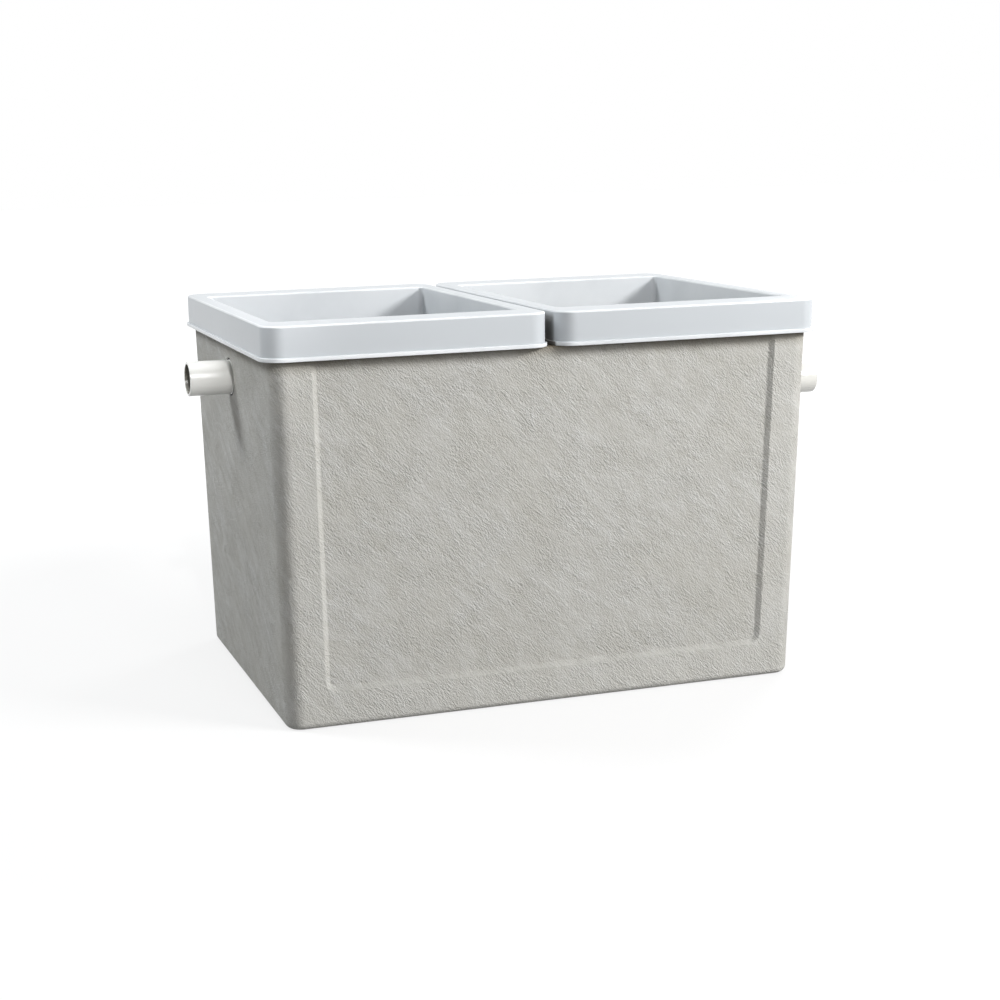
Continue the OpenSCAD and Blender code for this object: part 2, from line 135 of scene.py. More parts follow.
class PipeSettings(bpy.types.PropertyGroup):
    """Sizes of the drain pipe stubs"""
    wall: length("Wall", "Thickness of the pipe's wall", 3.7 * MM)
    ease: length("Ease", "How much thinner the pipe is inside the wall", 0.1 * MM)
    inlet_stub: length("Inlet stub", "Full-size length outside the inlet wall", 59.5 * MM)
    outlet_stub: length("Outlet stub", "Full-size length outside the outlet wall", 157.5 * MM)
    groove: length("Groove", "Depth of the groove where the pipe leaves the wall", 1.2 * MM)
    groove_width: length("Groove width", "Width of that groove", 3.26 * MM)
    rim_round: length("Rim rounding", "Radius of the rim's edges", 0.9 * MM)
    # Painted shade: share of the dark colour laid over the outlet's outside
    outlet_shade: number("Outlet film", "Share of the stain on the outlet's outside", 0.3)


class BailSettings(bpy.types.PropertyGroup):
    """Sizes of the basket's wire handle"""
    wire_radius: length("Wire radius", "Radius of the wire", 3 * MM)
    arm_gap: length("Arm gap", "Distance from the wire's ends to the arms", 14 * MM)
    elbow_radius: length("Elbow radius", "Bend radius where the ends turn out", 5 * MM)
    grip_radius: length("Grip radius", "Bend radius at the grip's corners", 16 * MM)


class FinishSettings(bpy.types.PropertyGroup):
    """Colours of the finishes"""
    laminate: colour("Laminate", "Moulded fibre laminate of the tank", (0.485, 0.479, 0.453))
    collar: colour("Collar", "Satin plastic of the collars", (0.535, 0.563, 0.589))
    # Painted highlight along the collars' rims and lip, and painted light on their openings' walls
    rubbed: colour("Rubbed edge", "Paler plastic along the collars' edges", (0.82, 0.84, 0.86))
    pipe: colour("Pipe", "Creamy white drain pipe", (0.86, 0.855, 0.82))
    # Painted shade: dark colour inside the pipes' bores and thinly over the outlet's outside
    pipe_shade: colour("Stain", "Film that waste water leaves in the pipes", (0.13, 0.118, 0.09))
    # Painted shadow: dark colour for the gap between the collars
    painted_shade: colour("Grime", "Dirt between the collars", (0.07, 0.062, 0.048))
    fitting: colour("Fitting", "Grey pipe fittings", (0.25, 0.265, 0.275))
    sheet: colour("Sheet", "Pale grey plastic sheet", (0.56, 0.575, 0.565))
    basket: colour("Basket", "Blue-grey strainer basket", (0.25, 0.33, 0.42))
    rubber: colour("Rubber", "Black rubber", (0.018, 0.018, 0.019))
    steel: colour("Steel", "Drawn stainless wire", (0.56, 0.57, 0.58))


class StageSettings(bpy.types.PropertyGroup):
    """Camera and lights"""
    camera_place: bpy.props.FloatVectorProperty(
        name="Camera place", description="Where the camera stands", size=3, subtype="TRANSLATION",
        default=(-0.9075, -2.4977, 0.7942))
    yaw: degrees("Yaw", "Turn of the view to the right", 17.183)
    pitch: degrees("Pitch", "Tilt of the view downwards", 12.597)
    roll: degrees("Roll", "Turn of the picture", -1.208)
    lens: number("Lens", "Focal length in millimetres", 63.337)
    shift_x: number("Shift across", "Sideways shift of the picture", 0.0957)
    shift_y: number("Shift up", "Upward shift of the picture", 0.0305)
    key: number("Key light", "Power of the light at the right", 219.0)
    front: number("Front light", "Power of the light in front", 68.0)
    side: number("Side light", "Power of the light at the back left", 158.0)
    top: number("Top light", "Power of the light overhead", 16.0)
    back: number("Back light", "Power of the light behind", 92.0)
    accent: number("Accent light", "Power of the narrow light on the inlet pipe", 395.0)
    ambient: number("Ambient", "Strength of the light from all round", 0.07)


# Modelling helpers

def deselect():
    bpy.ops.object.select_all(action="DESELECT")


def near(first, second):
    return abs(first - second) < TOUCH


def make_active(piece):
    deselect()
    piece.select_set(True)
    bpy.context.view_layer.objects.active = piece


def begin_piece(name):
    """Starts an empty piece in edit mode."""
    deselect()
    bpy.ops.mesh.primitive_plane_add()
    piece = bpy.context.object
    piece.name = name
    piece.data.name = name
    bpy.ops.object.mode_set(mode="EDIT")
    bpy.ops.mesh.select_mode(type="VERT")
    bpy.ops.mesh.delete(type="VERT")
    return piece


def draw_outline(outline):
    """Adds a rounded rectangle and leaves it selected."""
    centre = (outline.x, 0, outline.z)
    bpy.ops.mesh.primitive_plane_add(size=1, location=centre)
    bpy.ops.transform.resize(value=(outline.length, outline.width, 1), center_override=centre)
    bpy.ops.mesh.bevel(offset=outline.radius, segments=CORNER_STEPS, affect="VERTICES")


def pick_loops(piece, *indices):
    """Selects drawn loops by their order."""
    bpy.ops.mesh.select_all(action="DESELECT")
    for index in indices:
        piece.vertex_groups.active_index = index
        bpy.ops.object.vertex_group_select()


def loft(name, draw, stations, closed, mark=None, amounts=()):
    """Draws a loop at each station and joins each to the next; an open chain is capped at its ends.

    A mark is a point attribute with one amount for each station.
    """
    piece = begin_piece(name)
    for station in stations:
        bpy.ops.mesh.select_all(action="DESELECT")
        draw(station)
        bpy.ops.object.vertex_group_assign_new()
        bpy.ops.mesh.delete(type="ONLY_FACE")
    last = len(stations) - 1
    for index in range(last):
        pick_loops(piece, index, index + 1)
        bpy.ops.mesh.bridge_edge_loops()
    if closed:
        pick_loops(piece, last, 0)
        bpy.ops.mesh.bridge_edge_loops()
    else:
        for index in (0, last):
            pick_loops(piece, index)
            bpy.ops.mesh.edge_face_add()
    bpy.ops.mesh.select_all(action="SELECT")
    bpy.ops.mesh.normals_make_consistent(inside=False)
    bpy.ops.object.mode_set(mode="OBJECT")
    if mark:
        layer = piece.data.attributes.new(mark, "FLOAT", "POINT")
        for vert in piece.data.vertices:
            layer.data[vert.index].value = amounts[vert.groups[0].group]
    piece.vertex_groups.clear()
    return piece


def arc(centre, radius, start, stop, steps):
    """Points of an arc in a profile, with angles in degrees."""
    angles = [math.radians(start + (stop - start) * k / steps) for k in range(steps + 1)]
    return [(centre[0] + radius * math.cos(a), centre[1] + radius * math.sin(a)) for a in angles]


def cut_away(piece, cutter):
    """Cuts one piece's form out of another and removes the cutter."""
    make_active(piece)
    bpy.ops.object.modifier_add(type="BOOLEAN")
    modifier = piece.modifiers[-1]
    modifier.operation = "DIFFERENCE"
    modifier.solver = "EXACT"
    modifier.object = cutter
    bpy.ops.object.modifier_apply(modifier=modifier.name)
    bpy.data.objects.remove(cutter, do_unlink=True)


def soften(piece, width, segments, angle, ceiling):
    """Rounds the edges below a ceiling that turn by more than an angle."""
    make_active(piece)
    bpy.ops.object.mode_set(mode="EDIT")
    bpy.ops.mesh.select_mode(type="EDGE")
    bpy.ops.mesh.select_all(action="DESELECT")
    bpy.ops.mesh.edges_select_sharp(sharpness=math.radians(angle))
    for edge in bmesh.from_edit_mesh(piece.data).edges:
        if all(vert.co.z > ceiling for vert in edge.verts):
            edge.select_set(False)
    bpy.ops.mesh.bevel(offset=width, segments=segments, affect="EDGES", clamp_overlap=False)
    bpy.ops.object.mode_set(mode="OBJECT")


def smooth(piece, angle=SMOOTH_ANGLE):
    make_active(piece)
    bpy.ops.object.shade_smooth_by_angle(angle=math.radians(angle))


def level_normals(piece):
    """Keeps wide flat faces evenly shaded beside narrow rounded ones."""
    make_active(piece)
    bpy.ops.object.modifier_add(type="WEIGHTED_NORMAL")
    modifier = piece.modifiers[-1]
    modifier.keep_sharp = True
    bpy.ops.object.modifier_apply(modifier=modifier.name)


def dress(piece, material, body, slot, *nodes):
    """Gives a finished piece its material and its body, and hides the solids that it stands for."""
    piece.data.materials.clear()
    piece.data.materials.append(material)
    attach(piece, body)
    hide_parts(*nodes)


# Material helpers

class Tree:
    """Adds nodes to a tree and links them."""

    def __init__(self, tree):
        self.tree = tree

    def add(self, kind, values=None, **settings):
        node = self.tree.nodes.new(kind)
        for name, value in settings.items():
            setattr(node, name, value)
        for key, value in (values or {}).items():
            self.feed(node.inputs[key], value)
        return node

    def feed(self, socket, value):
        if isinstance(value, bpy.types.NodeSocket):
            self.tree.links.new(value, socket)
        else:
            socket.default_value = value

    def math(self, operation, first, second=0.0, third=0.0, clamp=False):
        node = self.add("ShaderNodeMath", operation=operation, use_clamp=clamp)
        for socket, value in zip(node.inputs, (first, second, third)):
            self.feed(socket, value)
        return node.outputs[0]

    def noise(self, vector, scale, detail=2.0, rough=0.5, distortion=0.0, dimensions="3D"):
        node = self.add("ShaderNodeTexNoise", {"Vector": vector, "Scale": scale, "Detail": detail,
                                               "Roughness": rough, "Distortion": distortion},
                        noise_dimensions=dimensions)
        return node.outputs["Fac"]

    def remap(self, value, low, high, to_low=0.0, to_high=1.0):
        node = self.add("ShaderNodeMapRange", {0: value, 1: low, 2: high, 3: to_low, 4: to_high})
        return node.outputs[0]

    def mix(self, factor, first, second):
        factor_socket, first_socket, second_socket, result_socket = 0, 6, 7, 2
        node = self.add("ShaderNodeMix", data_type="RGBA")
        for index, value in ((factor_socket, factor), (first_socket, first), (second_socket, second)):
            self.feed(node.inputs[index], value)
        return node.outputs[result_socket]

    def bump(self, shader, height, strength, distance):
        node = self.add("ShaderNodeBump", {"Height": height, "Strength": strength, "Distance": distance})
        self.feed(shader.inputs["Normal"], node.outputs["Normal"])


def new_group(name, inputs, outputs):
    """Starts a shader node group and returns its tree, its input node and its output node."""
    group = bpy.data.node_groups.new(name, "ShaderNodeTree")
    for socket, kind in inputs.items():
        group.interface.new_socket(socket, in_out="INPUT", socket_type=kind)
    for socket in outputs:
        group.interface.new_socket(socket, in_out="OUTPUT", socket_type="NodeSocketFloat")
    tree = Tree(group)
    return tree, tree.add("NodeGroupInput"), tree.add("NodeGroupOutput")


def fibre_group(tank):
    """Lay of short fibres, unrolled round the walls: a height, a tone and a coarse patchiness."""
    tree, source, sink = new_group("Fibre Lay", {"Vector": "NodeSocketVector", "Normal": "NodeSocketVector"},
                                   ["Height", "Tone", "Patch"])
    place = tree.add("ShaderNodeSeparateXYZ", {0: source.outputs["Vector"]}).outputs
    facing = tree.add("ShaderNodeSeparateXYZ", {0: source.outputs["Normal"]}).outputs
    flat_x = tank.length / 2 - tank.corner_radius
    flat_y = tank.width / 2 - tank.corner_radius

    def size(value):
        return tree.math("ABSOLUTE", value)

    def beyond(axis, limit):
        return tree.math("MAXIMUM", tree.math("SUBTRACT", size(place[axis]), limit), 0.0)

    def choose(test, first, second):
        return tree.math("MULTIPLY_ADD", test, tree.math("SUBTRACT", second, first), first)

    # On the end walls the lay is drawn out and stands out more
    end_pace, end_grain, end_broad = 0.75, 1.35, 1.3
    # Faces that point up or down more than this are laid out as seen from above
    level_from = 0.8
    # Noise strays evenly about this value
    middle = 0.5
    turn = tree.math("ARCTAN2", beyond("X", flat_x), beyond("Y", flat_y))
    along_front = tree.math("MINIMUM", size(place["X"]), flat_x)
    unrolled = tree.math("MULTIPLY_ADD", turn, tank.corner_radius, along_front)
    on_end = tree.math("LESS_THAN", size(place["Y"]), flat_y)
    end_run = tree.math("MULTIPLY", tree.math("ADD", place["Y"], flat_y), end_pace)
    unrolled = tree.math("MULTIPLY_ADD", on_end, end_run, unrolled)
    unrolled = tree.math("MULTIPLY", unrolled, tree.math("SIGN", place["X"]))
    on_level = tree.math("GREATER_THAN", size(facing["Z"]), level_from)
    across = choose(on_level, unrolled, place["X"])
    upward = choose(on_level, place["Z"], place["Y"])
    flat = tree.add("ShaderNodeCombineXYZ", {0: across, 1: upward}).outputs[0]

    def strands(angle, along, width, distortion, detail):
        turned = tree.add("ShaderNodeMapping", {"Vector": flat, "Rotation": (0, 0, math.radians(angle))})
        drawn = tree.add("ShaderNodeVectorMath", {0: turned.outputs[0], 1: (along, width, 1.0)},
                         operation="MULTIPLY")
        return tree.noise(drawn.outputs[0], scale=1.0, detail=detail, rough=0.55, distortion=distortion,
                          dimensions="2D")

    def weighted(*pairs):
        total = tree.math("MULTIPLY", tree.math("SUBTRACT", pairs[0][0], middle), pairs[0][1])
        for value, weight in pairs[1:]:
            total = tree.math("MULTIPLY_ADD", tree.math("SUBTRACT", value, middle), weight, total)
        return total

    patch = tree.noise(flat, scale=9.0, detail=3.0, rough=0.55, distortion=0.4, dimensions="2D")
    spread = tree.noise(flat, scale=21.0, detail=2.0, rough=0.5, distortion=0.3, dimensions="2D")
    pits = tree.noise(flat, scale=500.0, detail=2.0, rough=0.6, dimensions="2D")
    middling = strands(angle=48, along=120, width=460, distortion=0.3, detail=2.0)
    shallow = strands(angle=31, along=105, width=380, distortion=0.4, detail=1.0)
    steep = strands(angle=66, along=115, width=420, distortion=0.4, detail=1.0)
    grain = weighted((middling, 0.42), (shallow, 0.24), (steep, 0.22), (pits, 0.36))
    grain = tree.math("MULTIPLY", grain, tree.remap(spread, 0.36, 0.64, 0.6, 1.1))
    grain = tree.math("MULTIPLY", grain, choose(on_end, 1.0, end_grain))
    long_strands = strands(angle=42, along=18, width=125, distortion=0.8, detail=1.0)
    line = size(tree.math("SUBTRACT", long_strands, middle))
    strand = tree.remap(line, 0.0, 0.025, 1.0, 0.0)
    where = tree.remap(tree.noise(flat, scale=30.0, dimensions="2D"), 0.54, 0.64)
    strand_height, broad_height = 0.15, 0.5
    height = tree.math("MULTIPLY_ADD", tree.math("MULTIPLY", strand, where), strand_height, grain)
    broad = weighted((strands(angle=44, along=24, width=80, distortion=0.5, detail=2.0), 0.5))
    broad = tree.math("MULTIPLY", broad, choose(on_end, 1.0, end_broad))
    tree.feed(sink.inputs["Height"], tree.math("MULTIPLY_ADD", broad, broad_height, height))
    tree.feed(sink.inputs["Tone"], tree.math("ADD", height, broad))
    tree.feed(sink.inputs["Patch"], patch)
    return tree.tree


def moulding_group():
    """Faint clouding and skin of moulded or extruded plastic, drawn out by a stretch."""
    inputs = {"Vector": "NodeSocketVector", "Stretch": "NodeSocketVector", "Skin Scale": "NodeSocketFloat"}
    tree, source, sink = new_group("Plastic Skin", inputs, ["Cloud", "Skin", "Scuff"])
    place = tree.add("ShaderNodeVectorMath", {0: source.outputs["Vector"], 1: source.outputs["Stretch"]},
                     operation="MULTIPLY").outputs[0]
    cloud = tree.noise(place, scale=7.0, detail=4.0, rough=0.55, distortion=0.3)
    skin = tree.noise(place, scale=source.outputs["Skin Scale"], detail=2.0, rough=0.6)
    scuff = tree.remap(tree.noise(place, scale=60.0, detail=5.0, rough=0.7, distortion=0.6), 0.56, 0.72)
    for name, value in (("Cloud", cloud), ("Skin", skin), ("Scuff", scuff)):
        tree.feed(sink.inputs[name], value)
    return tree.tree


def new_material(name):
    """Starts a node material and returns it with its tree and its Principled shader."""
    if name in bpy.data.materials:
        raise RuntimeError(f"material {name} is there already")
    material = bpy.data.materials.new(name)
    material.use_nodes = True
    tree = Tree(material.node_tree)
    return material, tree, material.node_tree.nodes["Principled BSDF"]


def shade(rgb, red, green, blue):
    """A colour with each channel scaled."""
    return (rgb[0] * red, rgb[1] * green, rgb[2] * blue, 1.0)


def tint(rgb, factor=1.0):
    """A colour with all channels scaled alike."""
    return shade(rgb, factor, factor, factor)


def laminate_material(rgb, group, tank, rim):
    """Fibre laminate with paler raised strips as painted light, upward faces and ledges darker as painted
    shade, and brown-tinted painted shade below the rim, under the collars' lip.
    """
    dark, pale = shade(rgb, 0.72, 0.7, 0.65), shade(rgb, 1.28, 1.3, 1.35)
    stained, lit_strips = shade(rgb, 0.93, 0.915, 0.875), tint(rgb, 1.2)
    dimmed_upward, shaded = shade(rgb, 0.58, 0.585, 0.57), shade(rgb, 0.33, 0.285, 0.21)
    stain_share, strip_light_share, upward_dimming, middle_tone = 0.4, 0.3, 0.45, 0.5
    margin, gap_shadow_depth, lip_shade_depth, relief_height = 1 * MM, 5 * MM, 21 * MM, 3 * MM
    material, tree, shader = new_material("moulded_laminate")
    spot = tree.add("ShaderNodeTexCoord").outputs
    place = tree.add("ShaderNodeSeparateXYZ", {0: spot["Object"]}).outputs
    upward = tree.add("ShaderNodeSeparateXYZ", {0: spot["Normal"]}).outputs["Z"]
    fibre = tree.add("ShaderNodeGroup", {"Vector": spot["Object"], "Normal": spot["Normal"]},
                     node_tree=group).outputs
    base = tree.mix(tree.math("ADD", fibre["Tone"], middle_tone, clamp=True), dark, pale)
    base = tree.mix(tree.remap(fibre["Patch"], 0.35, 0.65, 0.0, stain_share), base, stained)
    lean = tank.draft / tank.height
    wall = tree.math("MULTIPLY_ADD", place["Z"], lean, tank.width / 2 - tank.draft)
    behind = tree.math("SUBTRACT", wall, tree.math("ABSOLUTE", place["Y"]))
    # Painted light: the raised strips beside the panels are made paler
    base = tree.mix(tree.remap(behind, margin, tank.panel_depth - margin, strip_light_share, 0.0), base, lit_strips)
    # Painted shade: faces that point upwards, such as the panels' lower ledges, are darkened against the
    # light they catch
    base = tree.mix(tree.remap(upward, 0.12, 0.5, 0.0, upward_dimming), base, dimmed_upward)
    # Painted shade below the rim where the collars' lip overhangs, tinted brown and broken up by the
    # patchiness
    painted_shade = tree.math("POWER", tree.remap(place["Z"], rim - lip_shade_depth, rim), 1.2)
    painted_shade = tree.math("MULTIPLY", painted_shade, tree.remap(fibre["Patch"], 0.3, 0.6, 0.6, 0.9))
    # Painted shadow: a near-black line in the gap just below the rim
    gap_shadow = tree.remap(place["Z"], rim - gap_shadow_depth, rim - margin)
    base = tree.mix(tree.math("MAXIMUM", painted_shade, gap_shadow), base, shaded)
    tree.feed(shader.inputs["Base Color"], base)
    tree.feed(shader.inputs["Roughness"], tree.remap(fibre["Tone"], -0.2, 0.3, 0.72, 0.52))
    tree.bump(shader, fibre["Height"], strength=0.9, distance=relief_height)


def plastic_material(name, rgb, group, roughness, stretch=(1.0, 1.0, 1.0), skin_scale=700.0,
                     clouding=0.05, relief=0.05, mark=None, mark_rgb=None):
    """Plastic with a faint skin; a mark is the attribute that brings in a second colour."""
    scuff_gain, skin_height = 0.08, 0.6 * MM
    material, tree, shader = new_material(name)
    place = tree.add("ShaderNodeTexCoord").outputs["Object"]
    skin = tree.add("ShaderNodeGroup", {"Vector": place, "Stretch": stretch, "Skin Scale": skin_scale},
                    node_tree=group).outputs
    base = tree.mix(skin["Cloud"], tint(rgb, 1.0 - clouding), tint(rgb, 1.0 + clouding))
    if mark:
        amount = tree.add("ShaderNodeAttribute", attribute_name=mark).outputs["Fac"]
        broken = tree.remap(skin["Cloud"], 0.35, 0.6, 0.55, 1.0)
        base = tree.mix(tree.math("MULTIPLY", amount, broken), base, tint(mark_rgb))
    tree.feed(shader.inputs["Base Color"], base)
    tree.feed(shader.inputs["Roughness"], tree.math("MULTIPLY_ADD", skin["Scuff"], scuff_gain, roughness))
    tree.bump(shader, skin["Skin"], strength=relief, distance=skin_height)


def paint_gap_shade(material, rgb, edge, rim):
    """Darkens the collars' facing walls below the rim: painted shadow in the gap between them."""
    inward, outward = 0.5 * MM, 1.2 * MM
    full_depth, unshaded_depth, share = 10 * MM, 2 * MM, 0.9
    tree = Tree(material.node_tree)
    socket = material.node_tree.nodes["Principled BSDF"].inputs["Base Color"]
    unshaded = socket.links[0].from_socket
    place = tree.add("ShaderNodeTexCoord").outputs["Object"]
    place = tree.add("ShaderNodeSeparateXYZ", {0: place}).outputs
    between = tree.remap(tree.math("ABSOLUTE", place["X"]), edge - inward, edge + outward, 1.0, 0.0)
    below = tree.remap(place["Z"], rim - full_depth, rim - unshaded_depth, share, 0.0)
    tree.feed(socket, tree.mix(tree.math("MULTIPLY", between, below), unshaded, tint(rgb)))


def seen_directly(tree):
    """Picks out the rays that show a surface itself from those that only carry its light."""
    rays = tree.add("ShaderNodeLightPath").outputs
    seen = tree.math("MAXIMUM", rays["Is Camera Ray"], rays["Is Glossy Ray"])
    return tree.math("MAXIMUM", seen, rays["Is Transmission Ray"])


def adjust(material, values):
    """Sets shader values that are the same all over a finish."""
    shader = material.node_tree.nodes["Principled BSDF"]
    for name, value in values.items():
        shader.inputs[name].default_value = value


def finish(name):
    return bpy.data.materials[name]


# Pieces

def half_length(tank, z):
    return tank.length / 2 - tank.draft * (1 - z / tank.height)


def half_width(tank, z):
    return tank.width / 2 - tank.draft * (1 - z / tank.height)


def tank_outlines(tank, inset, top):
    """Outlines of the tank's form from its base to a top height, moved in by an inset."""
    edge = tank.base_edge - inset
    outlines = []
    for k in range(BEND_STEPS + 1):
        a = math.pi / 2 * k / BEND_STEPS
        pull = inset + edge * (1 - math.sin(a))
        outlines.append(Outline(0, 2 * (half_length(tank, tank.base_edge) - pull),
                                2 * (half_width(tank, tank.base_edge) - pull),
                                tank.corner_radius - pull, inset + edge * (1 - math.cos(a))))
    outlines.append(Outline(0, 2 * (half_length(tank, top) - inset), 2 * (half_width(tank, top) - inset),
                            tank.corner_radius - inset, top))
    return outlines


def panel_cutter(tank, name, face=0.0, grow=0.0):
    """Sloping-edged slabs that run from a face on the front and back walls, as in a mould."""
    top = tank.height + 2 * tank.panel_radius

    def draw(step):
        spread = grow + tank.panel_slope * (0.5 - step)
        low = tank.panel_base - grow - tank.panel_foot * (0.5 - step)
        reach_low = half_length(tank, low) - tank.panel_margin + spread
        reach_top = half_length(tank, top) - tank.panel_margin + spread
        depth = -(face + step * tank.panel_depth)
        middle = (0, (low + top) / 2, depth)
        bpy.ops.mesh.primitive_plane_add(size=1, location=middle)
        bpy.ops.transform.resize(value=(2 * reach_low, top - low, 1), center_override=middle)
        mesh = bmesh.from_edit_mesh(bpy.context.object.data)
        corners = [vert for vert in mesh.verts if vert.select]
        for vert in corners:
            vert.select_set(vert.co.y > middle[1])
        mesh.select_flush(False)
        bpy.ops.transform.resize(value=(reach_top / reach_low, 1, 1), center_override=(0, top, depth))
        for vert in bmesh.from_edit_mesh(bpy.context.object.data).verts:
            vert.select_set(near(vert.co.z, depth) and vert.co.y < middle[1])
        bpy.ops.mesh.bevel(offset=tank.panel_radius + spread, segments=BEND_STEPS, affect="VERTICES")
        mesh = bmesh.from_edit_mesh(bpy.context.object.data)
        for vert in mesh.verts:
            vert.select_set(near(vert.co.z, depth))
        mesh.select_flush(True)

    cutter = loft(name, draw, (-1, 1), closed=False)
    lean = math.atan(tank.draft / tank.height)
    bpy.ops.object.duplicate()
    back = bpy.context.object
    for piece, turn, side in ((cutter, 0.0, -1), (back, math.pi, 1)):
        piece.rotation_euler = (math.pi / 2 + lean, 0, turn)
        piece.location = (0, side * half_width(tank, 0), 0)
    make_active(cutter)
    back.select_set(True)
    bpy.ops.object.transform_apply(location=True, rotation=True, scale=True)
    bpy.ops.object.join()
    return cutter


def hole_cutter(tank, pipe_low, pipe_high, side):
    """Round bar through an end wall at a pipe's height."""
    deselect()
    height = (pipe_low.z + pipe_high.z) / 2
    reach = 6 * tank.wall
    bpy.ops.mesh.primitive_cylinder_add(vertices=HOLE_STEPS, radius=tank.hole_radius, depth=reach,
                                        location=(side * half_length(tank, height), 0, height),
                                        rotation=(0, math.pi / 2, 0))
    bpy.ops.object.transform_apply(location=True, rotation=True, scale=True)
    return bpy.context.object


class GREASETRAP_OT_finishes(bpy.types.Operator):
    """Makes the materials and puts them on the solids that stay"""
    bl_idname = "greasetrap.finishes"
    bl_label = "Finishes"

    def execute(self, context):
        settings = context.scene.greasetrap_finish
        tank = context.scene.greasetrap_tank
        collar = context.scene.greasetrap_collar
        skin = moulding_group()
        laminate_material(settings.laminate, fibre_group(tank), tank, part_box("deck_plate")[1][2])
        # The collars' paler rims, lip and opening walls are painted highlight and painted light
        plastic_material("satin_collar", settings.collar, skin, roughness=0.3, clouding=0.03, relief=0.04,
                         mark="rubbed", mark_rgb=settings.rubbed)
        # Painted shadow in the gap between the two collars
        paint_gap_shade(finish("satin_collar"), settings.painted_shade, collar.lip - COLLAR_HIGH.x, COLLAR_HIGH.z)
        drawn = {"roughness": 0.26, "skin_scale": 500.0, "clouding": 0.04, "relief": 0.04}
        plastic_material("level_pipe", settings.pipe, skin, stretch=(0.06, 1.0, 1.0),
                         mark="stained", mark_rgb=settings.pipe_shade, **drawn)
        adjust(finish("level_pipe"), {"Coat Weight": 0.6, "Coat Roughness": 0.12})
        plastic_material("upright_pipe", settings.pipe, skin, stretch=(1.0, 1.0, 0.06), **drawn)
        plastic_material("grey_fitting", settings.fitting, skin, roughness=0.34, clouding=0.08, relief=0.06)
        plastic_material("cut_sheet", settings.sheet, skin, roughness=0.45, stretch=(1.0, 1.0, 0.15),
                         skin_scale=420.0, clouding=0.07, relief=0.06)
        plastic_material("moulded_basket", settings.basket, skin, roughness=0.5, clouding=0.1, relief=0.1)
        plastic_material("black_rubber", settings.rubber, skin, roughness=0.62, skin_scale=500.0,
                         clouding=0.25, relief=0.2)
        adjust(finish("black_rubber"), {"Specular IOR Level": 0.3})
        plastic_material("drawn_wire", settings.steel, skin, roughness=0.28, stretch=(1.0, 0.04, 1.0),
                         skin_scale=900.0, clouding=0.08, relief=0.08)
        adjust(finish("drawn_wire"), {"Metallic": 1.0})
        kept = {
            "black_rubber": ["inlet_collar_gasket", "outlet_collar_gasket",
                             "inlet_pipe_seal", "outlet_pipe_seal"],
            "upright_pipe": ["inlet_drop_pipe", "outlet_dip_pipe"],
            "grey_fitting": ["inlet_elbow", "outlet_tee", "dip_pipe_clip"],
            "cut_sheet": ["grease_baffle", "baffle_front_guide", "baffle_back_guide", "sludge_weir",
                          "weir_front_guide", "weir_back_guide", "basket_front_ledge", "basket_back_ledge"],
            "moulded_basket": ["strainer_basket"],
        }
        for name, nodes in kept.items():
            for node in nodes:
                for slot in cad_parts[node].material_slots:
                    slot.material = finish(name)
        return {"FINISHED"}


class GREASETRAP_OT_tank(bpy.types.Operator):
    """Models the moulded tank with its recessed panels and pipe holes"""
    bl_idname = "greasetrap.tank"
    bl_label = "Tank"

    def execute(self, context):
        tank = context.scene.greasetrap_tank
        above, below = 2 * MM, 1 * MM
        outside = tank_outlines(tank, 0.0, tank.height)
        inside = tank_outlines(tank, tank.wall, tank.height + above)
        body = loft("tank_shell", draw_outline, outside, closed=False)
        cavity = loft("tank_cavity", draw_outline, inside, closed=False)
        cut_away(cavity, panel_cutter(tank, "panel_pads", face=tank.wall, grow=tank.wall / 2))
        cut_away(body, cavity)
        cut_away(body, panel_cutter(tank, "panel_recesses"))
        cut_away(body, hole_cutter(tank, INLET_LOW, INLET_HIGH, -1))
        cut_away(body, hole_cutter(tank, OUTLET_LOW, OUTLET_HIGH, 1))
        soften(body, width=tank.edge_round, segments=3, angle=24.0, ceiling=tank.height - below)
        smooth(body)
        level_normals(body)
        dress(body, finish("moulded_laminate"), "trap", "laminate", "tank_body")
        return {"FINISHED"}


class GREASETRAP_OT_deck(bpy.types.Operator):
    """Models the deck with an opening under each collar and edges that follow the panels"""
    bl_idname = "greasetrap.deck"
    bl_label = "Deck"

    def execute(self, context):
        tank = context.scene.greasetrap_tank
        collar = context.scene.greasetrap_collar
        low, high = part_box("deck_plate")
        plate = [Outline(0, tank.length, tank.width, tank.corner_radius, z) for z in (low[2], high[2])]
        deck = loft("deck_frame", draw_outline, plate, closed=False)
        clear = collar.wall + tank.neck_gap
        along = COLLAR_HIGH.x - COLLAR_LOW.x - 2 * (collar.lip + collar.side_rim - clear)
        across = COLLAR_HIGH.y - COLLAR_LOW.y - 2 * (collar.lip + collar.front_rim - clear)
        for name in ("inlet_collar", "outlet_collar"):
            first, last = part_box(name)
            hole = [Outline((first[0] + last[0]) / 2, along, across, collar.opening_radius + clear, z)
                    for z in (low[2] - tank.wall, high[2] + tank.wall)]
            cut_away(deck, loft("deck_opening", draw_outline, hole, closed=False))
        cut_away(deck, panel_cutter(tank, "deck_notches"))
        smooth(deck)
        dress(deck, finish("moulded_laminate"), "trap", "laminate", "deck_plate")
        return {"FINISHED"}


